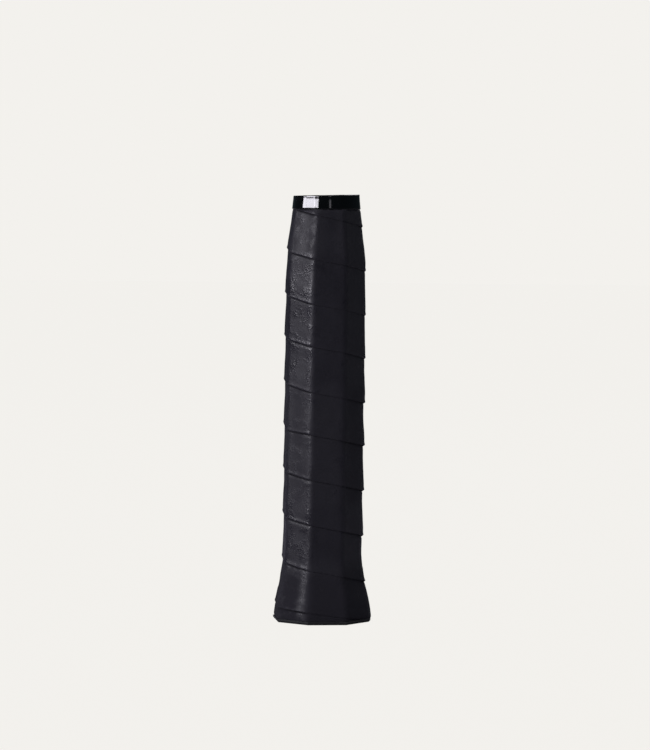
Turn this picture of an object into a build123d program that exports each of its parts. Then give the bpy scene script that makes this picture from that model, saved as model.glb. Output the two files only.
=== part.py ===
# Wrapped octagonal racket handle: a leather grip strip wound in a left-handed helix
# from a flared butt cap up to a glossy finishing tape, over two pallet halves
# bonded on a twin-tube shaft. Millimetres, +Z up the handle, origin at the centre
# of the butt's end plane. The wide flats face -Y and +Y.
import os
from math import atan2, cos, sin, sqrt, tan, pi

from build123d import *

os.makedirs("parts", exist_ok=True)

# ---------------------------------------------------------------- sizes
HEIGHT = 190.0            # butt plane to the top of the finishing tape

# core octagon of the pallets, half sizes between opposite flats
CORE_Y = 13.99            # to the wide flats, on Y
CORE_X = 15.19            # to the side flats, on X
CORE_D = 14.36            # to the four diagonal flats, 45 degrees

# how far the core grows or shrinks along the handle: (height, offset of every flat)
PROFILE = [
    (0.0, 4.30), (1.5, 4.30), (3.5, 4.13), (6.3, 3.74), (9.0, 3.28), (11.5, 2.75),
    (14.0, 2.15), (17.0, 1.44), (20.0, 0.84), (23.0, 0.40), (26.0, 0.12),
    (29.0, 0.0), (140.0, 0.0), (159.5, -0.25), (162.0, -0.34), (165.0, -0.56), (190.0, -3.06),
]
FINE_LOW, FINE_HIGH = 31.0, (157.5, 167.0)   # heights where the profile bends
FINE_ROW = 1.25                              # row spacing of the strips there

# leather strip
STRIP_W = 25.0            # width
STRIP_T = 1.6             # thickness in the middle
SKIVE = 5.5               # length of the pared edge
SKIVE_T = 0.5             # thickness left at the upper edge
LAY = 0.3                 # room for the glue line under the leather
TURN_GAP = 0.08           # clear space between one turn and the next
STRIP_BOTTOM = 1.7        # the strip's start is cut level with the butt cap's lip
STRIP_TOP = 189.4         # its end is cut level under the finishing tape
# height of the strip's lower edge, by turns from the front left corner; its first
# turn runs nearly level round the butt before it climbs
SEAM = [
    (0.0, -14.1), (0.8, 1.9), (1.0, 5.4), (1.13, 6.4), (1.4, 11.0), (2.0, 23.7), (3.0, 43.9),
    (4.0, 64.0), (5.0, 84.0), (6.0, 102.8), (7.0, 123.2), (8.0, 141.9), (9.0, 161.8),
    (10.0, 181.2), (11.0, 200.6),
]

# double-sided tape on the strip's back: its edges along the strip, and its two faces
GLUE_V0, GLUE_V1 = 10.0, 21.25
GLUE_IN, GLUE_OUT = 0.10, 0.22

# finishing tape
TAPE_Z0, TAPE_Z1 = 184.0, HEIGHT
TAPE_IN, TAPE_OUT = 1.84, 2.24

# shaft: two D-shaped tubes side by side
SHAFT_X, SHAFT_Y, SHAFT_R = 20.6, 17.6, 8.4
TUBE_GAP, TUBE_WALL = 0.3, 1.6
SHAFT_Z0 = 20.0

# pocket in the pallets
POCKET_X, POCKET_Y, POCKET_R = 20.9, 19.3, 9.0
SHIM_T = 0.7
PALLET_Z0, PALLET_Z1 = 5.0, 189.0
SPLIT_GAP = 0.2           # glue gap between the two pallet halves

# butt cap
SKIRT_TOP = 27.0
SKIRT_T = 1.2
LIP_H = 1.6
RECESS = 0.8              # end face set back inside the rim
PLATE_TOP = 3.0
DOOR_X, DOOR_Y, DOOR_R = 21.6, 15.6, 3.0
DOOR_STEP = 2.2           # ledge height the door's flange seats on
DOOR_GAP = 0.3
DOOR_TRAVEL = 10.0


# ---------------------------------------------------------------- octagon helpers
def grown(z):
    """Offset of the core's flats at height z."""
    for (z0, c0), (z1, c1) in zip(PROFILE, PROFILE[1:]):
        if z <= z1:
            return c0 + (c1 - c0) * (z - z0) / (z1 - z0)
    return PROFILE[-1][1]


def corners(offset):
    """The octagon's corners, clockwise seen from above, from the front left one."""
    a, b, d = CORE_Y + offset, CORE_X + offset, (CORE_D + offset) * sqrt(2)
    x1, y1 = d - a, d - b
    return [(-x1, -a), (-b, -y1), (-b, y1), (-x1, a), (x1, a), (b, y1), (b, -y1), (x1, -a)]


def octagon_loft(levels):
    """Closed ruled loft through octagons; levels are (height, offset from the core)."""
    with BuildPart(mode=Mode.PRIVATE) as body:
        for z, off in levels:
            with BuildSketch(Plane.XY.offset(z)):
                with BuildLine():
                    Polyline(*corners(off), close=True)
                make_face()
        loft(ruled=True)
    return body.part


def profile_levels(z0, z1, extra):
    """Levels from z0 to z1 on the core's profile, moved out by extra."""
    heights = [z0] + [z for z, _ in PROFILE if z0 < z < z1] + [z1]
    return [(z, grown(z) + extra) for z in heights]


# ---------------------------------------------------------------- helical strips
FLAT = [sqrt((x1 - x0) ** 2 + (y1 - y0) ** 2)
        for (x0, y0), (x1, y1) in zip(corners(0.8), corners(0.8)[1:] + corners(0.8)[:1])]
SHARE = [sum(FLAT[:k]) / sum(FLAT) for k in range(8)]


def seam(turn):
    """Height of the strip's lower edge, in turns from the front left corner."""
    k = 0
    while k < len(SEAM) - 2 and turn > SEAM[k + 1][0]:
        k += 1
    (t0, z0), (t1, z1) = SEAM[k], SEAM[k + 1]
    return z0 + (z1 - z0) * (turn - t0) / (t1 - t0)


def place(station, v, off):
    """Point of the strip at a corner station, v up from its lower edge, off out from the core."""
    turn = station // 8 + SHARE[station % 8]
    z = seam(turn) + v
    x, y = corners(grown(min(max(z, 0.0), HEIGHT)) + off)[station % 8]
    return Vector(x, y, z)


def rows(station, line):
    """Points along one side of the section, with extra rows where the profile bends."""
    z0 = seam(station // 8 + SHARE[station % 8])
    vs = []
    for (v0, o0), (v1, o1) in zip(line, line[1:]):
        vs.append((v0, o0))
        k = int(v0 // FINE_ROW) + 1
        while k * FINE_ROW < v1 - 0.3:
            z = z0 + k * FINE_ROW
            bend = z < FINE_LOW or FINE_HIGH[0] < z < FINE_HIGH[1]
            if k * FINE_ROW > v0 + 0.3 and bend:
                vs.append((k * FINE_ROW, o0 + (o1 - o0) * (k * FINE_ROW - v0) / (v1 - v0)))
            k += 1
    vs.append(line[-1])
    return [(v, place(station, v, o)) for v, o in vs]


def facet(*points):
    """Plane face through the points, or nothing when they enclose no area."""
    distinct = [p for i, p in enumerate(points) if (p - points[i - 1]).length > 1e-6]
    if len(distinct) < 3 or (distinct[1] - distinct[0]).cross(distinct[-1] - distinct[0]).length < 1e-7:
        return []
    return [Face(Wire.make_polygon(distinct, close=True))]


def band(left, right, outward):
    """Faces between two stations' rows, joined where their heights along the strip agree."""
    out, i, j = [], 0, 0
    while i < len(left) - 1 or j < len(right) - 1:
        a, d = left[i][1], right[j][1]
        vi = left[i + 1][0] if i < len(left) - 1 else 1e9
        vj = right[j + 1][0] if j < len(right) - 1 else 1e9
        if abs(vi - vj) < 1e-6 or (i < len(left) - 1 and j < len(right) - 1 and abs(vi - vj) < 0.45):
            b, c = left[i + 1][1], right[j + 1][1]
            n = (b - a).cross(c - a)
            if n.length > 1e-9 and abs((d - a).dot(n.normalized())) < 1e-8:
                loops = [(a, b, c, d)]
            else:
                loops = [(a, b, c), (a, c, d)]
            i, j = i + 1, j + 1
        elif vi < vj:
            loops, i = [(a, left[i + 1][1], d)], i + 1
        else:
            loops, j = [(a, right[j + 1][1], d)], j + 1
        for loop in loops:
            out += facet(*(loop if outward else loop[::-1]))
    return out


def helix_solid(first, last, section):
    """Closed solid of a strip over corner stations first..last; section(turn) gives the
    outer and the inner side of its outline, each a list of (v, offset) going up."""
    sides = []
    for s in range(first, last + 1):
        outer, inner = section(s // 8 + SHARE[s % 8])
        sides.append((rows(s, outer), rows(s, inner)))
    faces = []
    for (out0, in0), (out1, in1) in zip(sides, sides[1:]):
        faces += band(out0, out1, True)
        faces += band(in0, in1, False)
        for k, outward in ((0, False), (-1, True)):
            edge = band([(0, out0[k][1]), (1, in0[k][1])], [(0, out1[k][1]), (1, in1[k][1])], outward)
            faces += edge
    for outer, inner in (sides[0], sides[-1]):
        faces += facet(*[p for _, p in outer], *[p for _, p in inner[::-1]])
    return Solid(Shell(faces))


def leather_section(turn):
    """The strip's section: it lies on the core, and its lower edge climbs onto the turn below."""
    step = seam(turn) - seam(turn - 1) if turn >= 0.9 else 19.5
    lap = STRIP_W - step
    flat = max(0.4, STRIP_W - SKIVE - step)
    top = LAY + STRIP_T
    rise = top + TURN_GAP
    thin = LAY + SKIVE_T
    outer = [(0.0, rise + 0.38), (flat, rise + 0.44), (lap, thin + TURN_GAP + STRIP_T),
             (lap + 5.0, top + 0.1), (15.0, top), (STRIP_W - SKIVE, top), (STRIP_W, thin)]
    inner = [(0.0, rise), (flat, rise), (lap, thin + TURN_GAP), (lap + 1.3, LAY),
             (15.0, LAY), (STRIP_W, LAY)]
    return outer, inner


def glue_section(turn):
    middle = (GLUE_V0 + GLUE_V1) / 2
    return ([(GLUE_V0, GLUE_OUT), (middle, GLUE_OUT), (GLUE_V1, GLUE_OUT)],
            [(GLUE_V0, GLUE_IN), (middle, GLUE_IN), (GLUE_V1, GLUE_IN)])


# ---------------------------------------------------------------- finishing tape
with BuildPart() as finishing_tape:
    add(octagon_loft(profile_levels(TAPE_Z0, TAPE_Z1, TAPE_OUT)))
    add(octagon_loft([(TAPE_Z0 - 1, grown(TAPE_Z0 - 1) + TAPE_IN),
                      (TAPE_Z1 + 1, grown(TAPE_Z1) - 0.11 + TAPE_IN)]), mode=Mode.SUBTRACT)

# room that the tape takes in the leather's end
with BuildPart() as tape_room:
    add(octagon_loft([(TAPE_Z0 - 0.03, grown(TAPE_Z0) + 6.0), (TAPE_Z1 + 12, grown(TAPE_Z1) + 6.0)]))
    add(octagon_loft([(TAPE_Z0 - 1, grown(TAPE_Z0 - 1) + TAPE_IN - 0.04),
                      (TAPE_Z1 + 13, grown(TAPE_Z1) - 1.38 + TAPE_IN - 0.04)]), mode=Mode.SUBTRACT)

# ---------------------------------------------------------------- leather grip strip
with BuildPart() as leather_grip:
    add(helix_solid(-2, 85, leather_section))
    split(bisect_by=Plane.XY.offset(STRIP_BOTTOM), keep=Keep.TOP)
    split(bisect_by=Plane.XY.offset(STRIP_TOP), keep=Keep.BOTTOM)
    add(tape_room.part, mode=Mode.SUBTRACT)

# ---------------------------------------------------------------- adhesive on its back
with BuildPart() as grip_adhesive_tape:
    add(helix_solid(2, 80, glue_section))
    split(bisect_by=Plane.XY.offset(STRIP_BOTTOM + 0.4), keep=Keep.TOP)
    split(bisect_by=Plane.XY.offset(STRIP_TOP - 1.0), keep=Keep.BOTTOM)

# ---------------------------------------------------------------- butt cap
with BuildPart() as butt_cap:
    # flared body and skirt
    add(octagon_loft(profile_levels(LIP_H, SKIRT_TOP, 0.0)))
    # lip that the leather's start lies against
    add(octagon_loft([(0.0, grown(0.0) + 0.75), (0.35, grown(0.35) + 1.2),
                      (0.9, grown(0.9) + 1.53), (LIP_H, grown(LIP_H) + 1.6)]))
    # socket for the pallet ends
    add(octagon_loft([(PLATE_TOP, -SKIRT_T), (SKIRT_TOP + 1, -SKIRT_T)]), mode=Mode.SUBTRACT)
    # end face set back inside the rim
    add(octagon_loft([(-1.0, grown(0.0) - 2.6), (RECESS, grown(0.0) - 2.6)]), mode=Mode.SUBTRACT)
    # window: a wide seat for the door's flange, and a narrower way through
    with BuildSketch(Plane.XY):
        RectangleRounded(DOOR_X + 2 * DOOR_GAP, DOOR_Y + 2 * DOOR_GAP, DOOR_R + DOOR_GAP)
    extrude(amount=DOOR_STEP, mode=Mode.SUBTRACT)
    with BuildSketch(Plane.XY):
        RectangleRounded(DOOR_X - 3.6, DOOR_Y - 3.6, DOOR_R - 1.2)
    extrude(amount=PLATE_TOP + 1, mode=Mode.SUBTRACT)
    # slot for prising the door out
    with BuildSketch(Plane.XY):
        with Locations((0, -(DOOR_Y / 2 + DOOR_GAP))):
            RectangleRounded(5.0, 2.4, 0.6)
    extrude(amount=DOOR_STEP - 0.3, mode=Mode.SUBTRACT)

# ---------------------------------------------------------------- trap door
with BuildPart() as trap_door:
    with BuildSketch(Plane.XY.offset(RECESS)):
        RectangleRounded(DOOR_X, DOOR_Y, DOOR_R)
    extrude(amount=DOOR_STEP - DOOR_GAP - RECESS)
    chamfer(trap_door.edges().group_by(Axis.Z)[0], 0.25)
    with BuildSketch(Plane.XY.offset(DOOR_STEP - DOOR_GAP)):
        RectangleRounded(DOOR_X - 4.3, DOOR_Y - 4.3, DOOR_R - 1.5)
    extrude(amount=PLATE_TOP - DOOR_STEP + DOOR_GAP)
    # two snap legs
    with BuildSketch(Plane.XY.offset(PLATE_TOP)):
        with GridLocations(DOOR_X - 5.8, 0, 2, 1):
            RectangleRounded(1.4, 6.0, 0.4)
    extrude(amount=4.2)
    fillet(trap_door.edges().group_by(Axis.Z)[-1], 0.3)
    # stiffening rib between the legs
    with BuildSketch(Plane.XY.offset(PLATE_TOP)):
        Rectangle(DOOR_X - 7.0, 1.0)
    extrude(amount=1.0)

# ---------------------------------------------------------------- pallets
with BuildPart() as pallet_blank:
    add(octagon_loft(profile_levels(SKIRT_TOP + 0.1, PALLET_Z1, 0.0)))
    add(octagon_loft([(PALLET_Z0, -SKIRT_T - 0.1), (SKIRT_TOP + 0.1, -SKIRT_T - 0.1)]))
    with BuildSketch(Plane.XY.offset(PALLET_Z0 - 1)):
        RectangleRounded(POCKET_X, POCKET_Y, POCKET_R)
    extrude(amount=PALLET_Z1 - PALLET_Z0 + 2, mode=Mode.SUBTRACT)

with BuildPart() as pallet_front:
    add(pallet_blank.part)
    split(bisect_by=Plane.XZ.offset(SPLIT_GAP / 2), keep=Keep.TOP)

with BuildPart() as pallet_rear:
    add(pallet_blank.part)
    split(bisect_by=Plane.XZ.offset(-SPLIT_GAP / 2), keep=Keep.BOTTOM)

# ---------------------------------------------------------------- shaft tubes
TUBE_L = HEIGHT - SHAFT_Z0
HALF = SHAFT_X / 2


def tube_sketch(inset, grow):
    """Half of the shaft's rounded outline, inset from the outside and from the middle."""
    RectangleRounded(SHAFT_X - 2 * inset, SHAFT_Y - 2 * inset, SHAFT_R - inset)
    with Locations((HALF / 2 + grow / 2, 0)):
        Rectangle(HALF - grow, SHAFT_Y + 2, mode=Mode.INTERSECT)


with BuildPart() as shaft_tube_right:
    with BuildSketch(Plane.XY.offset(SHAFT_Z0)):
        tube_sketch(0, TUBE_GAP / 2)
    extrude(amount=TUBE_L)
    fillet(shaft_tube_right.edges().filter_by(Axis.Z).group_by(Axis.X)[0], 1.4)
    with BuildSketch(Plane.XY.offset(SHAFT_Z0)):
        tube_sketch(TUBE_WALL, TUBE_GAP / 2 + TUBE_WALL)
    extrude(amount=TUBE_L, mode=Mode.SUBTRACT)

with BuildPart() as shaft_tube_left:
    add(shaft_tube_right.part.mirror(Plane.YZ))

# resin line that joins the two tubes
with BuildPart() as shaft_bond_line:
    with BuildSketch(Plane.XY.offset(SHAFT_Z0 + 1.0)):
        Rectangle(TUBE_GAP - 0.06, SHAFT_Y - 3.4)
    extrude(amount=TUBE_L - 2.0)

# ---------------------------------------------------------------- shims between shaft and pallets
with BuildPart() as shim_tape_front:
    with BuildSketch(Plane.XY.offset(SHAFT_Z0 + 6)):
        with Locations((0, -(SHAFT_Y / 2 + SHIM_T / 2 + 0.02))):
            Rectangle(5.2, SHIM_T)
    extrude(amount=150)

with BuildPart() as shim_tape_rear:
    add(shim_tape_front.part.mirror(Plane.XZ))


# ---------------------------------------------------------------- staples
def staple(x, z, side, crown, leg, out, wire=0.55):
    """U-shaped wire staple with a level crown on the flat facing side * Y, its back out from the axis by out."""
    with BuildPart(mode=Mode.PRIVATE) as one:
        with BuildSketch(Plane.XZ):
            with Locations((x, z)):
                Rectangle(crown, wire)
        extrude(amount=wire)
        with BuildSketch(Plane.XZ):
            with Locations((x - crown / 2 + wire / 2, z), (x + crown / 2 - wire / 2, z)):
                Rectangle(wire, wire)
        extrude(amount=-leg)
    moved = one.part.moved(Location((0, -(out - wire), 0)))
    return moved if side < 0 else moved.mirror(Plane.XZ)


with BuildPart() as butt_cap_staples:
    for side in (-1, 1):
        for x in (-3.6, 3.6):
            add(staple(x, 23.4, side, 4.6, 4.0, CORE_Y + grown(23.7) - 0.04))

# fastens the strip's start to the butt cap, under the next turn
with BuildPart() as starter_staple:
    add(staple(0.0, 6.6, -1, 6.0, 4.4, CORE_Y + grown(6.9) + 1.12))

# ---------------------------------------------------------------- export
PARTS = {
    "leather_grip": leather_grip, "grip_adhesive_tape": grip_adhesive_tape,
    "finishing_tape": finishing_tape, "starter_staple": starter_staple,
    "butt_cap": butt_cap, "trap_door": trap_door, "butt_cap_staples": butt_cap_staples,
    "pallet_front": pallet_front, "pallet_rear": pallet_rear,
    "shaft_tube_left": shaft_tube_left, "shaft_tube_right": shaft_tube_right,
    "shaft_bond_line": shaft_bond_line,
    "shim_tape_front": shim_tape_front, "shim_tape_rear": shim_tape_rear,
}
for name, made in PARTS.items():
    made.part.label = name
    export_step(made.part, f"parts/{name}.step")
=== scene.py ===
# Wound racket grip: the looks. Metres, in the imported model's frame; +Z up the handle,
# the wide flats face -Y and +Y.
import math

import bmesh
import bpy
import numpy as np
from mathutils import Matrix, Quaternion, Vector, noise


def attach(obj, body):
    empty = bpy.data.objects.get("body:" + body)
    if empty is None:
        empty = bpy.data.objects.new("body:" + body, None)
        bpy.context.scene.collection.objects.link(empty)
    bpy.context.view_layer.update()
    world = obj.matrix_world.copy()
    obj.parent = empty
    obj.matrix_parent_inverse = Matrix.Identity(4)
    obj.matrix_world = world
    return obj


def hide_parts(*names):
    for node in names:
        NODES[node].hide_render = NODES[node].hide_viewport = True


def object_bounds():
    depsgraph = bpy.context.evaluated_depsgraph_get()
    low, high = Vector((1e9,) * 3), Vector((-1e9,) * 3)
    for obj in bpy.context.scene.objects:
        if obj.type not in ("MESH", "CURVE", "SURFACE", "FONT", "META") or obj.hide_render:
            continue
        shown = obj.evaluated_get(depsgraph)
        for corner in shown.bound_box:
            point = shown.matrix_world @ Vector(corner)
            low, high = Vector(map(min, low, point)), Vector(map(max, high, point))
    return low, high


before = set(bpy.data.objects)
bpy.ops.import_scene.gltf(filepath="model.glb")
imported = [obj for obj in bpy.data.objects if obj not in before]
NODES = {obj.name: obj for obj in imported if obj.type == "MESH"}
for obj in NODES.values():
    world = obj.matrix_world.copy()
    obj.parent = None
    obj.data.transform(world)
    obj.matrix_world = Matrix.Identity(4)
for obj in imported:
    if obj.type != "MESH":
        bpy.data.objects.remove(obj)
cad_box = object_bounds()
MM = 0.001

# ------------------------------------------------------------------ the handle's sizes, mm
HEIGHT = 190.0
CORE_Y, CORE_X, CORE_D = 13.99, 15.19, 14.36
PROFILE = [
    (0.0, 4.30), (1.5, 4.30), (3.5, 4.13), (6.3, 3.74), (9.0, 3.28), (11.5, 2.75),
    (14.0, 2.15), (17.0, 1.44), (20.0, 0.84), (23.0, 0.40), (26.0, 0.12),
    (29.0, 0.0), (140.0, 0.0), (159.5, -0.25), (162.0, -0.34), (165.0, -0.56), (190.0, -3.06),
]
STRIP_W, STRIP_T, SKIVE, SKIVE_T, LAY, TURN_GAP = 25.0, 1.6, 5.5, 0.5, 0.3, 0.05
STRIP_BOTTOM, STRIP_TOP = 1.7, 189.4
SEAM = [
    (-1.0, -34.0), (0.0, -14.1), (0.8, 1.9), (1.0, 5.4), (1.13, 6.4), (1.4, 11.0), (2.0, 23.7), (3.0, 43.9),
    (4.0, 64.0), (5.0, 84.0), (6.0, 102.8), (7.0, 123.2), (8.0, 141.9), (9.0, 161.8),
    (10.0, 181.2), (11.0, 200.6),
]
# how far the hand let each turn stray, just left of the front left corner
STRAY = [0, 0, -0.1, -0.1, 0.0, -0.8, 0.4, 0.05, 0.45, 0.2, 0.0, 0.0]
TAPE_Z0, TAPE_Z1, TAPE_IN, TAPE_OUT = 184.0, 190.0, 1.84, 2.24
CORNER_R = 1.9            # rounding of the corners under the leather
ROUND = 0.6               # how far the tape's section goes from the octagon to an ellipse

ANGLES = [-135.0, -180.0, 135.0, 90.0, 45.0, 0.0, -45.0, -90.0]   # the flats' outward normals
SUPPORT = [CORE_D, CORE_X, CORE_D, CORE_Y, CORE_D, CORE_X, CORE_D, CORE_Y]


def smooth(x):
    x = np.clip(x, 0.0, 1.0)
    return x * x * (3 - 2 * x)


def grown(z):
    zs, cs = zip(*PROFILE)
    # a light smoothing of the profile's bends
    z = np.asarray(z, float)
    return sum(np.interp(z + d, zs, cs) for d in (-1.6, -0.8, 0.0, 0.8, 1.6)) / 5


def flat_lengths(off):
    out = []
    for k in range(8):
        a, b, c = SUPPORT[k - 1] + off, SUPPORT[k] + off, SUPPORT[(k + 1) % 8] + off
        # neighbours' normals are 45 degrees apart
        out.append((a + c) * math.sqrt(2) - 2 * b)
    return out


LENGTHS = flat_lengths(0.8)
SHARE = np.concatenate([[0.0], np.cumsum(LENGTHS)]) / sum(LENGTHS)
NORMALS = [(math.cos(math.radians(a)), math.sin(math.radians(a))) for a in ANGLES]


def corner(k, g, inset):
    """The octagon's corner between flat k - 1 and flat k, for cores grown by g (array) and inset."""
    (ax, ay), (bx, by) = NORMALS[k - 1], NORMALS[k % 8]
    p, q = SUPPORT[k - 1] + g - inset, SUPPORT[k % 8] + g - inset
    det = ax * by - ay * bx
    return (p * by - q * ay) / det, (q * ax - p * bx) / det


EPS = 0.11                # share of each flat that its two corner roundings take


def outline(turn, g, off, r0=CORNER_R):
    """Points of the rounded octagon. turn: turns from the front left corner, clockwise from above;
    g: growth of the core there; off: distance out from the core. Arrays of one shape."""
    turn, g, off, r0 = np.broadcast_arrays(np.asarray(turn, float), g, off, np.asarray(r0, float))
    frac = turn - np.floor(turn)
    x, y = np.zeros(frac.shape), np.zeros(frac.shape)
    for k in range(8):
        inside = (frac >= SHARE[k]) & (frac < SHARE[k + 1] if k < 7 else frac <= 1.0)
        if not inside.any():
            continue
        w = (frac[inside] - SHARE[k]) / (SHARE[k + 1] - SHARE[k])
        gg, oo, rr = g[inside], off[inside], r0[inside]
        x0, y0 = corner(k, gg, rr)
        x1, y1 = corner(k + 1, gg, rr)
        s = np.clip((w - EPS) / (1 - 2 * EPS), 0, 1)
        tilt = np.where(w < EPS, (1 - w / EPS), 0) - np.where(w > 1 - EPS, (w - 1 + EPS) / EPS, 0)
        a = np.radians(ANGLES[k] + 22.5 * tilt)
        r = rr + oo
        x[inside] = x0 + (x1 - x0) * s + r * np.cos(a)
        y[inside] = y0 + (y1 - y0) * s + r * np.sin(a)
    return x, y


def noise_field(x, y, z, size, seed):
    """Smooth noise in -1..1 at points in mm; size is its wavelength in mm."""
    out = np.empty(x.size)
    for i, (a, b, c) in enumerate(zip(x.ravel(), y.ravel(), z.ravel())):
        out[i] = noise.noise((a / size + seed, b / size - seed * 0.37, c / size + seed * 1.7))
    return out.reshape(x.shape)


def seam(turn):
    """Height of the strip's lower edge."""
    turn = np.asarray(turn, float)
    ts, zs = zip(*SEAM)
    n = np.clip(np.floor(turn).astype(int), 0, len(STRAY) - 1)
    f = turn - n
    stray = np.array(STRAY)[n] * np.sin(np.pi * np.clip(f / 0.26, 0, 1)) ** 2
    wob = 0.14 * np.sin(2 * np.pi * turn * 2.0 + 1.3 * n) * np.sin(np.pi * np.clip((f - 0.26) / 0.7, 0, 1)) ** 2
    return np.interp(turn, ts, zs) + np.where(turn >= 0, stray + wob, 0)


# ------------------------------------------------------------------ node helpers
def new_material(name):
    m = bpy.data.materials.new(name)
    m.use_nodes = True
    nt = m.node_tree
    return m, nt, nt.nodes["Principled BSDF"]


def add(nt, kind, **props):
    n = nt.nodes.new(kind)
    for k, v in props.items():
        if k.startswith("in_"):
            key = k[3:].replace("_", " ")
            n.inputs[key].default_value = v
        else:
            setattr(n, k, v)
    return n


def link(nt, a, b):
    nt.links.new(a, b)


def object_coords(nt):
    return add(nt, "ShaderNodeTexCoord").outputs["Object"]


def noise_tex(nt, vec, scale, detail=2.0, rough=0.5, distortion=0.0):
    n = add(nt, "ShaderNodeTexNoise")
    n.inputs["Scale"].default_value = scale
    n.inputs["Detail"].default_value = detail
    n.inputs["Roughness"].default_value = rough
    n.inputs["Distortion"].default_value = distortion
    link(nt, vec, n.inputs["Vector"])
    return n


def ramp(nt, fac, stops):
    r = add(nt, "ShaderNodeValToRGB")
    els = r.color_ramp.elements
    els[0].position, els[0].color = stops[0][0], (*stops[0][1], 1)
    els[1].position, els[1].color = stops[-1][0], (*stops[-1][1], 1)
    for pos, col in stops[1:-1]:
        e = els.new(pos)
        e.color = (*col, 1)
    link(nt, fac, r.inputs["Fac"])
    return r.outputs["Color"]


def math_node(nt, op, a, b=None, c=None, clamp=False):
    n = add(nt, "ShaderNodeMath", operation=op, use_clamp=clamp)
    for i, v in enumerate((a, b, c)):
        if v is None:
            continue
        if isinstance(v, (int, float)):
            n.inputs[i].default_value = v
        else:
            link(nt, v, n.inputs[i])
    return n.outputs[0]


def bump(nt, height, strength, distance, normal=None):
    b = add(nt, "ShaderNodeBump")
    b.inputs["Strength"].default_value = strength
    b.inputs["Distance"].default_value = distance
    link(nt, height, b.inputs["Height"])
    if normal is not None:
        link(nt, normal, b.inputs["Normal"])
    return b.outputs["Normal"]


def dress(obj, mat):
    obj.data.materials.clear()
    obj.data.materials.append(mat)


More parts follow.
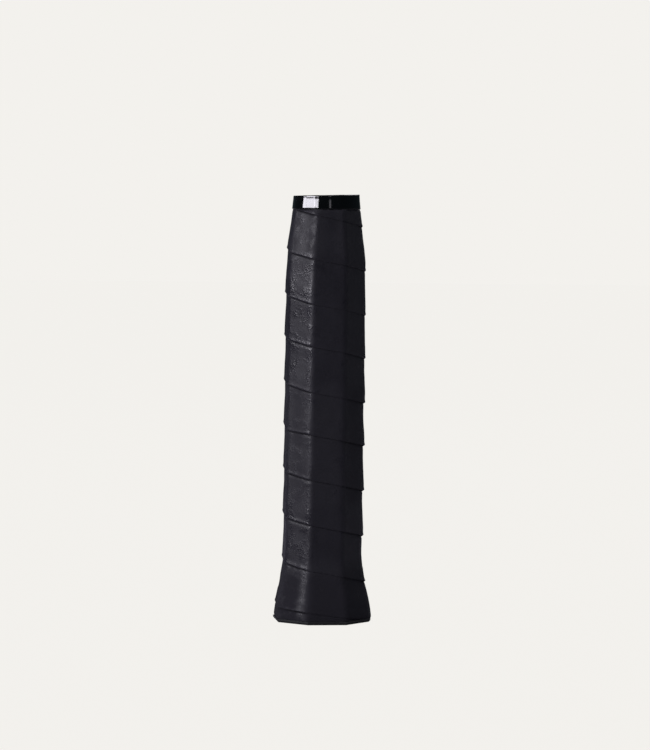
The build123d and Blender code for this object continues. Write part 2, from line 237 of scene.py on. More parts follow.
# ------------------------------------------------------------------ materials
def leather_material():
    m, nt, bsdf = new_material("black_grain_leather")
    co = object_coords(nt)
    # fine pebbled grain: small cells, broken up by finer noise, and raised in uneven patches that gather
    # where the leather is stretched over the handle's corners
    warp = noise_tex(nt, co, 420, 2, 0.5)
    mix = add(nt, "ShaderNodeVectorMath", operation="MULTIPLY_ADD")
    link(nt, warp.outputs["Color"], mix.inputs[0])
    mix.inputs[1].default_value = (0.0009, 0.0009, 0.0009)
    link(nt, co, mix.inputs[2])
    cells = add(nt, "ShaderNodeTexVoronoi", feature="SMOOTH_F1")
    cells.inputs["Scale"].default_value = 1600
    cells.inputs["Smoothness"].default_value = 0.35
    link(nt, mix.outputs[0], cells.inputs["Vector"])
    fine = noise_tex(nt, co, 3000, 3, 0.6)
    broad = noise_tex(nt, co, 75, 3, 0.55)
    patch = noise_tex(nt, co, 230, 3, 0.6, 0.5)
    mid = noise_tex(nt, co, 560, 3, 0.6, 0.4)
    wear = add(nt, "ShaderNodeAttribute", attribute_name="wear", attribute_type="GEOMETRY")
    raw_edge_and_crease_shade = add(nt, "ShaderNodeAttribute", attribute_name="raw_edge_and_crease_shade", attribute_type="GEOMETRY")
    rub = add(nt, "ShaderNodeAttribute", attribute_name="rub", attribute_type="GEOMETRY")
    quiet = add(nt, "ShaderNodeAttribute", attribute_name="quiet", attribute_type="GEOMETRY")
    gathered = math_node(nt, "MULTIPLY_ADD", rub.outputs["Fac"], 0.13, patch.outputs["Fac"])
    gathered = math_node(nt, "MULTIPLY_ADD", quiet.outputs["Fac"], -0.12, gathered)
    mask = add(nt, "ShaderNodeMapRange", interpolation_type="SMOOTHSTEP")
    link(nt, gathered, mask.inputs["Value"])
    mask.inputs["From Min"].default_value = 0.51
    mask.inputs["From Max"].default_value = 0.71
    raised = mask.outputs["Result"]
    pebble = math_node(nt, "MULTIPLY_ADD", cells.outputs["Distance"], -1.0, 1.0)
    deep = math_node(nt, "MULTIPLY_ADD", raised, 2.0, 0.09)
    grain = math_node(nt, "MULTIPLY", pebble, deep)
    grain = math_node(nt, "MULTIPLY_ADD", fine.outputs["Fac"],
                      math_node(nt, "MULTIPLY_ADD", quiet.outputs["Fac"], -0.07, 0.12), grain)
    grain = math_node(nt, "MULTIPLY_ADD", mid.outputs["Fac"], 0.32, grain)
    n1 = bump(nt, grain, 0.34, 0.00012)
    n1 = bump(nt, patch.outputs["Fac"], 0.35, 0.00024, n1)
    link(nt, n1, bsdf.inputs["Normal"])
    # dye: near black with a trace of violet, rubbed a little lighter on the edges
    worn = math_node(nt, "MULTIPLY", wear.outputs["Fac"], math_node(nt, "MULTIPLY_ADD", mid.outputs["Fac"], 1.2, 0.1))
    tone = math_node(nt, "MULTIPLY_ADD", worn, 0.35, math_node(nt, "MULTIPLY_ADD", broad.outputs["Fac"], 0.6, math_node(nt, "MULTIPLY_ADD", mid.outputs["Fac"], 0.08, 0.08)), clamp=True)
    col = ramp(nt, tone, [(0.2, (0.0130, 0.0118, 0.0165)), (0.5, (0.0172, 0.0158, 0.0218)), (1.0, (0.028, 0.0255, 0.035))])
    # darker on the raw cut edges and the strip's back; also painted shade: a dark band on each turn just below the edge
    # of the turn above, standing in for the crease's shadow
    dark = add(nt, "ShaderNodeMix", data_type="RGBA")
    link(nt, raw_edge_and_crease_shade.outputs["Fac"], dark.inputs["Factor"])
    link(nt, col, dark.inputs["A"])
    dark.inputs["B"].default_value = (0.0050, 0.0046, 0.0060, 1)
    link(nt, dark.outputs["Result"], bsdf.inputs["Base Color"])
    # satin finish, slicker on the raised grain and duller round the butt, where the palm works on it
    ro = math_node(nt, "MULTIPLY_ADD", mid.outputs["Fac"], 0.18, math_node(nt, "MULTIPLY_ADD", broad.outputs["Fac"], 0.22, 0.30))
    ro = math_node(nt, "MULTIPLY_ADD", wear.outputs["Fac"], -0.07, ro)
    ro = math_node(nt, "MULTIPLY_ADD", raised, -0.19, ro)
    xyz = add(nt, "ShaderNodeSeparateXYZ")
    link(nt, co, xyz.inputs[0])
    butt = add(nt, "ShaderNodeMapRange", interpolation_type="SMOOTHSTEP")
    link(nt, xyz.outputs["Z"], butt.inputs["Value"])
    butt.inputs["From Min"].default_value = 0.030
    butt.inputs["From Max"].default_value = 0.018
    dull = math_node(nt, "MULTIPLY", butt.outputs["Result"], math_node(nt, "MULTIPLY_ADD", rub.outputs["Fac"], -0.43, 0.48))
    ro = math_node(nt, "ADD", ro, dull)
    held = []
    for lo, hi in ((0.108, 0.103), (0.050, 0.056)):
        rng = add(nt, "ShaderNodeMapRange", interpolation_type="SMOOTHSTEP")
        link(nt, xyz.outputs["Z"], rng.inputs["Value"])
        rng.inputs["From Min"].default_value = lo
        rng.inputs["From Max"].default_value = hi
        held.append(rng.outputs["Result"])
    matt = math_node(nt, "MULTIPLY_ADD", rub.outputs["Fac"], -0.13, 0.20)
    ro = math_node(nt, "MULTIPLY_ADD", math_node(nt, "MULTIPLY", held[0], held[1]), matt, ro)
    top = add(nt, "ShaderNodeMapRange", interpolation_type="SMOOTHSTEP")
    link(nt, xyz.outputs["Z"], top.inputs["Value"])
    top.inputs["From Min"].default_value = 0.158
    top.inputs["From Max"].default_value = 0.168
    ro = math_node(nt, "MULTIPLY_ADD", math_node(nt, "MULTIPLY", top.outputs["Result"], rub.outputs["Fac"]), 0.22, ro)
    ro = math_node(nt, "MULTIPLY_ADD", raw_edge_and_crease_shade.outputs["Fac"], 0.55, ro, clamp=True)
    link(nt, ro, bsdf.inputs["Roughness"])
    bsdf.inputs["Specular IOR Level"].default_value = 0.42
    return m


def vinyl_material():
    m, nt, bsdf = new_material("gloss_black_vinyl")
    co = object_coords(nt)
    soft = noise_tex(nt, co, 130, 2, 0.5)
    dust = noise_tex(nt, co, 1800, 2, 0.6)
    n = bump(nt, soft.outputs["Fac"], 0.12, 0.0003)
    n = bump(nt, dust.outputs["Fac"], 0.02, 0.00002, n)
    link(nt, n, bsdf.inputs["Normal"])
    col = ramp(nt, soft.outputs["Fac"], [(0.3, (0.0018, 0.0018, 0.0022)), (0.7, (0.0030, 0.0030, 0.0034))])
    link(nt, col, bsdf.inputs["Base Color"])
    link(nt, math_node(nt, "MULTIPLY_ADD", dust.outputs["Fac"], 0.05, 0.05), bsdf.inputs["Roughness"])
    bsdf.inputs["Specular IOR Level"].default_value = 0.45
    bsdf.inputs["Coat Weight"].default_value = 0.2
    bsdf.inputs["Coat Roughness"].default_value = 0.05
    return m


def moulded_material(name, dark, light, rough, grain_scale, depth):
    m, nt, bsdf = new_material(name)
    co = object_coords(nt)
    spark = noise_tex(nt, co, grain_scale, 2, 0.55)
    broad = noise_tex(nt, co, 70, 3, 0.6)
    scuff = noise_tex(nt, co, 300, 4, 0.7, 0.6)
    n = bump(nt, spark.outputs["Fac"], 0.4, depth)
    link(nt, n, bsdf.inputs["Normal"])
    t = math_node(nt, "MULTIPLY_ADD", scuff.outputs["Fac"], 0.6, math_node(nt, "MULTIPLY", broad.outputs["Fac"], 0.5), clamp=True)
    link(nt, ramp(nt, t, [(0.3, dark), (0.8, light)]), bsdf.inputs["Base Color"])
    link(nt, math_node(nt, "MULTIPLY_ADD", scuff.outputs["Fac"], 0.25, rough), bsdf.inputs["Roughness"])
    return m


def pallet_material():
    m, nt, bsdf = new_material("cast_polyurethane")
    co = object_coords(nt)
    cell = add(nt, "ShaderNodeTexVoronoi", feature="F1")
    cell.inputs["Scale"].default_value = 1500
    link(nt, co, cell.inputs["Vector"])
    broad = noise_tex(nt, co, 110, 3, 0.6)
    n = bump(nt, cell.outputs["Distance"], 0.5, 0.00012)
    link(nt, n, bsdf.inputs["Normal"])
    t = math_node(nt, "MULTIPLY_ADD", cell.outputs["Distance"], 0.5, math_node(nt, "MULTIPLY", broad.outputs["Fac"], 0.6), clamp=True)
    link(nt, ramp(nt, t, [(0.2, (0.40, 0.33, 0.21)), (0.8, (0.60, 0.52, 0.36))]), bsdf.inputs["Base Color"])
    link(nt, math_node(nt, "MULTIPLY_ADD", broad.outputs["Fac"], 0.2, 0.65), bsdf.inputs["Roughness"])
    return m


def laminate_material():
    m, nt, bsdf = new_material("carbon_laminate")
    co = object_coords(nt)
    # plies: thin bands that follow the fibres, seen on the walls and on the cut end
    turned = add(nt, "ShaderNodeMapping")
    turned.inputs["Rotation"].default_value = (0, 0, math.radians(45))
    link(nt, co, turned.inputs["Vector"])
    w1 = add(nt, "ShaderNodeTexWave", wave_type="BANDS", bands_direction="DIAGONAL")
    w1.inputs["Scale"].default_value = 520
    w1.inputs["Distortion"].default_value = 1.2
    w1.inputs["Detail"].default_value = 2
    link(nt, turned.outputs["Vector"], w1.inputs["Vector"])
    fibre = noise_tex(nt, co, 1900, 3, 0.65)
    t = math_node(nt, "MULTIPLY_ADD", w1.outputs["Fac"], 0.6, math_node(nt, "MULTIPLY", fibre.outputs["Fac"], 0.4))
    link(nt, ramp(nt, t, [(0.2, (0.012, 0.012, 0.014)), (0.9, (0.05, 0.05, 0.055))]), bsdf.inputs["Base Color"])
    link(nt, math_node(nt, "MULTIPLY_ADD", fibre.outputs["Fac"], 0.3, 0.28), bsdf.inputs["Roughness"])
    link(nt, bump(nt, t, 0.3, 0.00008), bsdf.inputs["Normal"])
    return m


def foam_tape_material(name, lo, hi):
    m, nt, bsdf = new_material(name)
    co = object_coords(nt)
    cell = noise_tex(nt, co, 1700, 4, 0.7)
    link(nt, ramp(nt, cell.outputs["Fac"], [(0.3, lo), (0.7, hi)]), bsdf.inputs["Base Color"])
    link(nt, math_node(nt, "MULTIPLY_ADD", cell.outputs["Fac"], 0.2, 0.7), bsdf.inputs["Roughness"])
    link(nt, bump(nt, cell.outputs["Fac"], 0.4, 0.0001), bsdf.inputs["Normal"])
    return m


def wire_material():
    m, nt, bsdf = new_material("staple_wire")
    co = object_coords(nt)
    streak = noise_tex(nt, co, 1400, 3, 0.6)
    bsdf.inputs["Metallic"].default_value = 1.0
    link(nt, ramp(nt, streak.outputs["Fac"], [(0.3, (0.42, 0.42, 0.43)), (0.7, (0.66, 0.66, 0.68))]), bsdf.inputs["Base Color"])
    link(nt, math_node(nt, "MULTIPLY_ADD", streak.outputs["Fac"], 0.25, 0.2), bsdf.inputs["Roughness"])
    link(nt, bump(nt, streak.outputs["Fac"], 0.2, 0.00003), bsdf.inputs["Normal"])
    return m


LEATHER = leather_material()
VINYL = vinyl_material()
CAP = moulded_material("moulded_cap", (0.018, 0.018, 0.019), (0.034, 0.034, 0.036), 0.38, 1500, 0.00006)
DOOR = moulded_material("moulded_door", (0.024, 0.024, 0.026), (0.042, 0.042, 0.045), 0.28, 2200, 0.00004)
PALLET = pallet_material()
LAMINATE = laminate_material()
ADHESIVE = foam_tape_material("adhesive_film", (0.50, 0.42, 0.25), (0.66, 0.58, 0.40))
FOAM = foam_tape_material("foam_tape", (0.62, 0.62, 0.60), (0.78, 0.78, 0.76))
WIRE = wire_material()


# ------------------------------------------------------------------ the leather strip
def strip_turns():
    """Turn values of the rings: the flats' straights and the corner roundings between them."""
    out = []
    t0, t1 = -2, 85
    for s in range(t0, t1):
        a = s // 8 + SHARE[s % 8]
        b = s // 8 + SHARE[s % 8 + 1]
        ws = [0, EPS / 3, 2 * EPS / 3, EPS]
        ws += list(np.linspace(EPS, 1 - EPS, 10)[1:-1])
        ws += [1 - EPS, 1 - 2 * EPS / 3, 1 - EPS / 3]
        out += [a + (b - a) * w for w in ws]
    out.append(t1 // 8 + SHARE[t1 % 8])
    return np.array(out)


def build_leather():
    turns = strip_turns()
    z0 = seam(turns)
    prev = np.where(turns >= 0.75, seam(turns - 1), z0 - 19.5)
    step = z0 - prev                       # from the turn below's lower edge to this one's
    lap = STRIP_W - step                   # this strip's part that lies over the turn below
    top, thin = LAY + STRIP_T, LAY + SKIVE_T

    v_out = np.array([0.0, 0.07, 0.2, 0.42, 0.75, 1.2, 1.8, 2.6, 3.4, 4.2, 5.0, 6.0, 7.0, 8.0, 9.0, 10.0, 11.2,
                      12.4, 13.6, 14.8, 16.0, 17.2, 18.4, 19.5, 20.5, 21.5, 22.5, 23.5, 24.4, 25.0])
    v_in = np.array([0.0, 1.0, 2.2, 3.4, 4.4, 5.4, 6.4, 7.4, 8.4, 10.0, 12.0, 14.0, 16.0, 18.0, 20.0, 22.0, 24.0, 25.0])

    def under(vp):
        """The outer face of the turn below, at vp up from its own lower edge."""
        return np.interp(vp, [0, 14.5, STRIP_W - SKIVE, STRIP_W], [top, top, top, thin])

    T, V = np.meshgrid(turns, v_out, indexing="ij")
    L, S = lap[:, None], step[:, None]
    # four of the rows follow the next turn's edge, where the crease is
    at = [int(np.argmin(np.abs(v_out - v))) for v in (17.2, 18.4, 19.5, 20.5)]
    nxt = seam(turns + 1) - z0             # up to the edge of the turn above
    N = nxt[:, None]
    for j, d in zip(at, (-1.2, -0.6, -0.15, 0.3)):
        V[:, j] = np.clip(nxt + d, v_out[j] - 1.0, v_out[j] + 1.0)
    V = np.maximum.accumulate(V + np.arange(len(v_out)) * 1e-4, axis=1)
    # outer face: a rolled lower edge, proud over the lap, settling onto the core above it
    over = np.where(turns >= 0.75, 1.0, 0.0)[:, None]
    low = z0[:, None]
    ang = np.interp((T - np.floor(T)), [0, 0.25, 0.5, 0.75, 1.0], [0.0, -0.05, 0.0, 0.22, 0.0])
    lift = 0.42 * (0.45 + 0.55 * smooth((low - 14) / 20)) \
        + ang * (1 - smooth((low - 95) / 40)) * smooth((low - 24) / 30)
    # the upper turns are drawn tighter on the right hand side
    f_ = T - np.floor(T)
    tight = smooth((f_ - 0.50) / 0.1) * (1 - smooth((f_ - 0.84) / 0.06)) * smooth((low - 88) / 22)
    lift = lift - 0.24 * tight
    proud = (TURN_GAP + lift) * (1 - smooth((V - 2.5) / 13.0))
    proud = np.maximum(proud, np.where(V < L, TURN_GAP + 0.30 - 0.16 * tight, 0) * (1 - smooth((V - L + 1.5) / 1.5)))
    # the hand presses the edge flatter on the two wide flats than round the others
    frac_ = T - np.floor(T)
    wide = sum(smooth((frac_ - SHARE[k] + 0.02) / 0.035) * (1 - smooth((frac_ - SHARE[k + 1] - 0.01 + 0.025) / 0.035))
               for k in (3, 7)) + (1 - smooth((frac_ + 0.005) / 0.02)) * 0.8
    wide = np.clip(wide, 0, 1)
    calm = np.clip(wide + smooth((frac_ - SHARE[6] - 0.01) / 0.03) * (frac_ < SHARE[7] + 0.02), 0, 1)
    lip = 0.2 * (1 - 0.95 * calm) * (1 - smooth((V - 0.5) / 1.25))      # the edge curls out a little
    proud = proud * (1 - 0.22 * wide * (V > L))
    proud = np.where(V <= L + 1.5, np.maximum(proud * (1 - 0.42 * wide - 0.15 * (calm - wide)), np.minimum(proud, TURN_GAP + 0.12)), proud)
    body = top + (proud + lip) * over
    skive = np.where(V > STRIP_W - SKIVE, (V - (STRIP_W - SKIVE)) / SKIVE * (STRIP_T - SKIVE_T), 0)
    roll = (0.5 - 0.38 * calm) * np.clip(1 - V / 0.55, 0, 1) ** 2.0 * over
    pressed = 0.22 * (1 - 0.85 * calm) * np.exp(-((V - N + 0.05) / 0.42) ** 2) * (T < turns[-1] - 1)
    roll0 = 0.25 * np.clip(1 - V / 0.8, 0, 1) ** 2.6 * (1 - over)
    O = body - skive - roll - roll0 - pressed
    Z = z0[:, None] + V

    TI, VI = np.meshgrid(turns, v_in, indexing="ij")
    below = under(VI + S) + TURN_GAP
    floor_ = np.where(VI < L, below, np.maximum(LAY, thin + TURN_GAP - (VI - L) * 0.6))
    I = np.where(over > 0, floor_, LAY)
    ZI = z0[:, None] + VI

    def place(T, Z, O, outer):
        g = grown(Z)
        r0 = CORNER_R + 1.6 * smooth((25 - Z) / 14)      # the flare's corners are softer
        x, y = outline(T, g, O, r0)
        # unevenness shared by every layer, so that no turn cuts into the next
        lump = 0.16 * noise_field(x, y, Z, 13.0, 3.1) + 0.07 * noise_field(x, y, Z, 4.5, 8.7)
        # fuller on the left just above the flare
        lump = lump + 0.35 * np.exp(-((Z - 21) / 4.5) ** 2) * np.clip(-x / 16, 0, 1) ** 2
        if outer:
            lump = lump + 0.035 * noise_field(x, y, Z, 1.9, 5.2)
        # the end is pressed flat under the finishing tape, and the start is turned in at the lip
        press = smooth((Z - 182.2) / 1.8)
        lid = TAPE_IN - 0.08
        O2 = O + lump
        cap = np.where(press > 0, np.minimum(O2, lid + (1 - press) * 1.6), O2) if outer else \
            np.where(press > 0, np.minimum(O2, lid - 0.55 + (1 - press) * 1.0), O2)
        turn_in = 0.3 * np.clip(1 - (Z - STRIP_BOTTOM) / 1.0, 0, 1) ** 2
        cap = cap - (turn_in if outer else 0)
        x, y = outline(T, g, np.maximum(cap, 0.12), r0)
        # the front left corner lies a little further round than a true octagon's
        full = np.maximum(cap, 0.12) + g
        b_, x1_ = CORE_X + full, (CORE_D + full) * math.sqrt(2) - CORE_Y - full
        share = np.where(x < -x1_, (x + b_) / (b_ - x1_), (x1_ - x) / (2 * x1_))
        pull = (0.7 + 0.25 * smooth((50 - Z) / 35)) * (1 - smooth((Z - 150) / 34))
        x = x - pull * np.clip(share, 0, 1) * smooth(-y / 4)
        # a trace fuller on the right of the upper half
        x = x + 0.22 * smooth(x / 10) * smooth((Z - 90) / 20) * (1 - smooth((Z - 175) / 7))
        return np.stack([x + 0.25 * smooth((24 - Z) / 14), y, Z], -1)

    PO, PI = place(T, Z, O, True), place(TI, ZI, I, False)
    n, a, b = len(turns), len(v_out), len(v_in)
    loop = np.concatenate([PO, PI[:, ::-1]], 1)             # up the outside, down the inside
    m = a + b
    verts = (loop.reshape(-1, 3) * MM)
    # shares of wear, of raw edge and of painted shade in the crease under each turn's edge, kept on the mesh for the
    # material
    wear, rub = np.zeros((n, m)), np.zeros((n, m))
    frac = turns - np.floor(turns)
    near = np.min(np.abs(frac[:, None] - np.concatenate([SHARE, [1.0]])[None]), 1) * sum(LENGTHS)
    corner_rub = np.clip(1 - near / 2.2, 0, 1)
    edge_rub = np.clip(1 - np.abs(v_out - 0.55) / 0.9, 0, 1)
    wear[:, :a] = np.maximum(edge_rub[None] * (1 - 0.9 * calm), 0.55 * corner_rub[:, None])
    rub[:, :a] = smooth(1 - near / 6.5)[:, None]
    # round the butt only the front left corner is polished
    flare = smooth((29 - Z) / 8)
    along = frac * sum(LENGTHS)
    rub[:, :a] = rub[:, :a] * (1 - flare) + flare * np.exp(-((along - 2.4) / 1.9) ** 2)[:, None]
    quiet = np.zeros((n, m))
    quiet[:, :a] = calm
    raw_edge_and_crease_shade = np.zeros((n, m))
    # painted shade: a narrow band just below the edge of the turn above is darkened as if in shadow, much less on the
    # wide flats
    crease_shade = np.clip(1.2 - np.abs(V - N) / 0.55, 0, 1) * (turns < turns[-1] - 1)[:, None]
    raw_edge_and_crease_shade[:, :a] = crease_shade * (1 - 0.92 * calm)
    raw_edge_and_crease_shade[:, 0] = 1.0
    raw_edge_and_crease_shade[:, -1] = 1.0
    raw_edge_and_crease_shade[:, a:] = 1.0
    bm = bmesh.new()
    lw = bm.verts.layers.float.new("wear")
    lc = bm.verts.layers.float.new("raw_edge_and_crease_shade")
    lr = bm.verts.layers.float.new("rub")
    lq = bm.verts.layers.float.new("quiet")
    vs = []
    for co, w, c, r, q in zip(verts, wear.ravel(), raw_edge_and_crease_shade.ravel(), rub.ravel(), quiet.ravel()):
        v = bm.verts.new(co)
        v[lw], v[lc], v[lr], v[lq] = w, c, r, q
        vs.append(v)
    for i in range(n - 1):
        for j in range(m):
            k = (j + 1) % m
            bm.faces.new((vs[i * m + j], vs[(i + 1) * m + j], vs[(i + 1) * m + k], vs[i * m + k]))
    for i, rev in ((0, False), (n - 1, True)):
        ring = [vs[i * m + j] for j in range(m)]
        bm.faces.new(ring[::-1] if rev else ring)
    for co, no in (((0, 0, STRIP_BOTTOM * MM), (0, 0, -1)), ((0, 0, STRIP_TOP * MM), (0, 0, 1))):
        res = bmesh.ops.bisect_plane(bm, geom=bm.verts[:] + bm.edges[:] + bm.faces[:], dist=1e-7,
                                     plane_co=co, plane_no=no, clear_outer=True)
        edges = [e for e in bm.edges if e.is_boundary]
        bmesh.ops.triangle_fill(bm, use_beauty=True, use_dissolve=False, edges=edges)
    bmesh.ops.recalc_face_normals(bm, faces=bm.faces[:])
    open_edges = sum(1 for e in bm.edges if not e.is_manifold)
    me = bpy.data.meshes.new("leather_strip")
    bm.to_mesh(me)
    bm.free()
    for p in me.polygons:
        p.use_smooth = True
    me.set_sharp_from_angle(angle=math.radians(50))
    ob = bpy.data.objects.new("leather_strip", me)
    bpy.context.scene.collection.objects.link(ob)
    print("leather", len(me.vertices), "verts, not closed:", open_edges)
    return ob


strip = build_leather()
dress(strip, LEATHER)
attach(strip, "handle")
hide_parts("leather_grip")


# ------------------------------------------------------------------ the finishing tape
def build_tape():
    """A band of thin glossy tape, wound tight; its free end lies on the band at the back.
    It bridges the leather's corners, so its section is rounder than theirs."""
    n = 360
    end = 0.56                                    # where the free end lies, in turns
    turns = np.arange(n) / n
    rows = [(184.0, 0.10), (184.05, 0.03), (184.2, 0.0), (184.6, 0.0), (185.2, 0.0), (186.0, 0.0), (186.8, 0.0),
            (187.6, 0.0), (188.4, 0.0), (189.2, 0.0), (189.7, 0.0), (189.92, 0.03), (190.0, 0.12)]
    zs = np.array([r[0] for r in rows])
    ins = np.array([r[1] for r in rows])
    T, Z = np.meshgrid(turns, zs, indexing="ij")
    since = (T - end) % 1.0
    step = 0.12 * np.clip(1 - since * 2, 0, 1) * np.clip(since / 0.004, 0, 1)
    g = grown(Z)
    x, y = outline(T, g, TAPE_OUT, 3.2)
    lump = 0.05 * noise_field(x, y, Z * 0, 11.0, 21.0)
    edge = 0.10 * noise_field(x, y, Z * 0, 7.0, 2.0) * np.where(Z < 184.25, 1, 0)
    x, y = outline(T, g, TAPE_OUT - 0.08 + lump + step - ins[None], 3.2)
    # towards an ellipse
    r, phi = np.hypot(x, y), np.arctan2(y, x)
    ex, ey = CORE_X + g + TAPE_OUT + 0.45, CORE_Y + g + TAPE_OUT + 0.45
    ring = ex * ey / np.hypot(ey * np.cos(phi), ex * np.sin(phi)) - ins[None]
    r = r + ROUND * (ring - r)
    # the hand-laid top edge rises a little to the right
    tip = (0.2 + 0.028 * x) * smooth((Z - 187.5) / 2.5)
    outer = np.stack([r * np.cos(phi), r * np.sin(phi), Z + edge + tip], -1)
    xi, yi = outline(T, g, np.full_like(Z, TAPE_IN), 1.3)
    inner = np.stack([xi, yi, Z + edge + tip], -1)
    loop = np.concatenate([outer, inner[:, ::-1]], 1)
    m = loop.shape[1]
    bm = bmesh.new()
    vs = [bm.verts.new(co) for co in loop.reshape(-1, 3) * MM]
    for i in range(n):
        i2 = (i + 1) % n
        for j in range(m):
            k = (j + 1) % m
            bm.faces.new((vs[i * m + j], vs[i2 * m + j], vs[i2 * m + k], vs[i * m + k]))
    bmesh.ops.recalc_face_normals(bm, faces=bm.faces[:])
    me = bpy.data.meshes.new("gloss_band")
    bm.to_mesh(me)
    bm.free()
    for p in me.polygons:
        p.use_smooth = True
    me.set_sharp_from_angle(angle=math.radians(50))
    ob = bpy.data.objects.new("gloss_band", me)
    bpy.context.scene.collection.objects.link(ob)
    return ob


band = build_tape()
dress(band, VINYL)
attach(band, "handle")
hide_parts("finishing_tape")

# ------------------------------------------------------------------ CAD nodes keep their shapes
for name, mat in {
    "butt_cap": CAP, "trap_door": DOOR, "pallet_front": PALLET, "pallet_rear": PALLET,
    "shaft_tube_left": LAMINATE, "shaft_tube_right": LAMINATE, "shaft_bond_line": ADHESIVE,
    "grip_adhesive_tape": ADHESIVE, "shim_tape_front": FOAM, "shim_tape_rear": FOAM,
    "butt_cap_staples": WIRE, "starter_staple": WIRE, "leather_grip": LEATHER, "finishing_tape": VINYL,
}.items():
    dress(NODES[name], mat)

# ------------------------------------------------------------------ stage
PALE = (0.896, 0.880, 0.847)


def to_camera(nt, shown, other):
    """One colour for the camera, another strength of it for the light it gives."""
    path = add(nt, "ShaderNodeLightPath")
    mix = add(nt, "ShaderNodeMixShader")
    link(nt, path.outputs["Is Camera Ray"], mix.inputs[0])
    link(nt, other, mix.inputs[1])
    link(nt, shown, mix.inputs[2])
    return mix.outputs[0]


world = bpy.data.worlds.new("studio")
bpy.context.scene.world = world
world.use_nodes = True
nt = world.node_tree
nt.nodes.clear()
seen = add(nt, "ShaderNodeBackground")
seen.inputs["Color"].default_value = (*PALE, 1)
dim = add(nt, "ShaderNodeBackground")
dim.inputs["Color"].default_value = (0.62, 0.88, 1.0, 1)
dim.inputs["Strength"].default_value = 0.045
out = add(nt, "ShaderNodeOutputWorld")
link(nt, to_camera(nt, seen.outputs[0], dim.outputs[0]), out.inputs["Surface"])

floor_mat, nt, bsdf = new_material("pale_floor")
nt.nodes.remove(bsdf)
glow = add(nt, "ShaderNodeEmission")
glow.inputs["Color"].default_value = (*PALE, 1)
glow.inputs["Strength"].default_value = 0.992
matt = add(nt, "ShaderNodeBsdfDiffuse")
matt.inputs["Color"].default_value = (0.006, 0.006, 0.006, 1)
both = add(nt, "ShaderNodeAddShader")
link(nt, glow.outputs[0], both.inputs[0])
link(nt, matt.outputs[0], both.inputs[1])
away = add(nt, "ShaderNodeBsdfDiffuse")
away.inputs["Color"].default_value = (0.29, 0.28, 0.31, 1)
clear = add(nt, "ShaderNodeBsdfTransparent")
# light from under the floor reaches the handle's end face, but not its chamfered edge
path = add(nt, "ShaderNodeLightPath")
spot = add(nt, "ShaderNodeSeparateXYZ")
link(nt, add(nt, "ShaderNodeNewGeometry").outputs["Position"], spot.inputs[0])


def floor_math(op, a, b=None):
    n = add(nt, "ShaderNodeMath")
    n.operation = op
    for i, v in enumerate((a, b)):
        if isinstance(v, float):
            n.inputs[i].default_value = v
        elif v is not None:
            link(nt, v, n.inputs[i])
    return n.outputs[0]


across = floor_math("ABSOLUTE", spot.outputs[0])
along = floor_math("ABSOLUTE", spot.outputs[1])
lit = path.outputs["Is Shadow Ray"]
for reach, core in ((across, CORE_X), (along, CORE_Y),
                    (floor_math("MULTIPLY", floor_math("ADD", across, along), math.sqrt(0.5)), CORE_D)):
    lit = floor_math("MULTIPLY", lit, floor_math("LESS_THAN", reach, (core + 4.9) * MM))
lets = add(nt, "ShaderNodeMixShader")
link(nt, lit, lets.inputs[0])
link(nt, away.outputs[0], lets.inputs[1])
link(nt, clear.outputs[0], lets.inputs[2])
surface = to_camera(nt, both.outputs[0], lets.outputs[0])
back = add(nt, "ShaderNodeNewGeometry")
sides = add(nt, "ShaderNodeMixShader")
link(nt, back.outputs["Backfacing"], sides.inputs[0])
link(nt, surface, sides.inputs[1])
link(nt, clear.outputs[0], sides.inputs[2])
link(nt, sides.outputs[0], nt.nodes["Material Output"].inputs["Surface"])
bm = bmesh.new()
bmesh.ops.create_grid(bm, x_segments=8, y_segments=8, size=6.0)
me = bpy.data.meshes.new("floor")
bm.to_mesh(me)
bm.free()
floor = bpy.data.objects.new("floor", me)
floor.location = (0, 0, cad_box[0][2] - 0.0001)
bpy.context.scene.collection.objects.link(floor)
dress(floor, floor_mat)


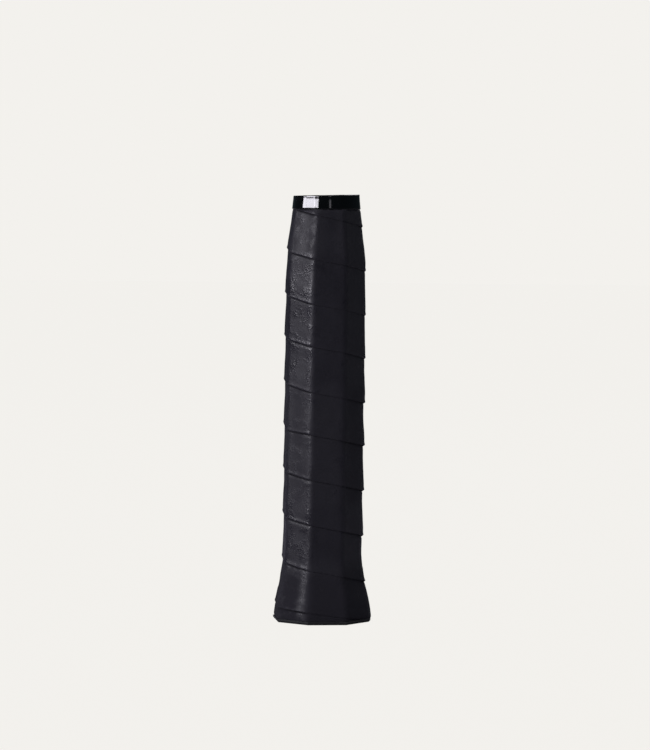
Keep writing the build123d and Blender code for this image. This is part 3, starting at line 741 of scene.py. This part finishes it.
def area_light(name, az, el, dist, size_x, size_y, power, target=(0, 0, 0.1), color=(1, 1, 1)):
    a, e = math.radians(az), math.radians(el)
    d = Vector((math.sin(a) * math.cos(e), -math.cos(a) * math.cos(e), math.sin(e)))
    li = bpy.data.lights.new(name, "AREA")
    li.shape = "RECTANGLE"
    li.size, li.size_y = size_x, size_y
    li.energy = power
    li.color = color
    ob = bpy.data.objects.new(name, li)
    ob.location = Vector(target) + d * dist
    ob.rotation_mode = "QUATERNION"
    ob.rotation_quaternion = d.to_track_quat("Z", "Y")
    ob.visible_camera = False
    bpy.context.scene.collection.objects.link(ob)
    return ob


COOL = (0.94, 0.915, 1.0)
TOP = (0, 0, 0.187)
area_light("softbox_left", -64.5, 13.5, 1.2, 0.62, 0.22, 8.1, target=TOP, color=COOL)
area_light("softbox_outer", -83.3, 8.3, 1.2, 0.165, 0.05, 0.51, target=TOP, color=COOL)
area_light("softbox_inner", -39.5, 10.7, 1.2, 0.49, 0.03, 1.0, target=TOP, color=COOL)
area_light("strip_front", 6.8, 12, 1.3, 0.07, 0.10, 0.036, target=TOP, color=COOL)
area_light("fill_high", 25, 62, 1.6, 1.3, 0.9, 2.9, color=COOL)
area_light("fill_low", 76, 2, 1.5, 1.5, 0.10, 0.3, target=(0, 0, 0.06), color=COOL)
area_light("rear_right", 152, 42, 1.5, 1.0, 0.8, 9.5, color=COOL)
area_light("rear_left", -138, 58, 1.5, 1.0, 0.7, 2.4, color=COOL)
area_light("side_right", 114, 40, 1.5, 0.9, 0.7, 1.7, color=COOL)
area_light("under", 0, -89, 0.5, 0.24, 0.24, 2.2, target=(0, 0, 0), color=COOL)

# ------------------------------------------------------------------ camera
AZ, DIST, CAM_H = -7.5, 1.547, 0.190
YAW, PITCH, ROLL = -0.010, -2.961, 0.67
cam_data = bpy.data.cameras.new("camera")
cam_data.sensor_width = 36.0
cam_data.lens = 166.5
cam = bpy.data.objects.new("camera", cam_data)
a = math.radians(AZ)
cam.location = (DIST * math.sin(a), -DIST * math.cos(a), CAM_H)
a += math.radians(YAW)
look = Vector((-math.sin(a) * math.cos(math.radians(PITCH)), math.cos(a) * math.cos(math.radians(PITCH)),
               math.sin(math.radians(PITCH))))
cam.rotation_mode = "QUATERNION"
cam.rotation_quaternion = look.to_track_quat("-Z", "Y") @ Quaternion((0, 0, 1), math.radians(ROLL))
cam_data.clip_start, cam_data.clip_end = 0.05, 50
bpy.context.scene.collection.objects.link(cam)
bpy.context.scene.camera = cam
bpy.context.scene.view_settings.view_transform = "Standard"

bpy.context.view_layer.update()
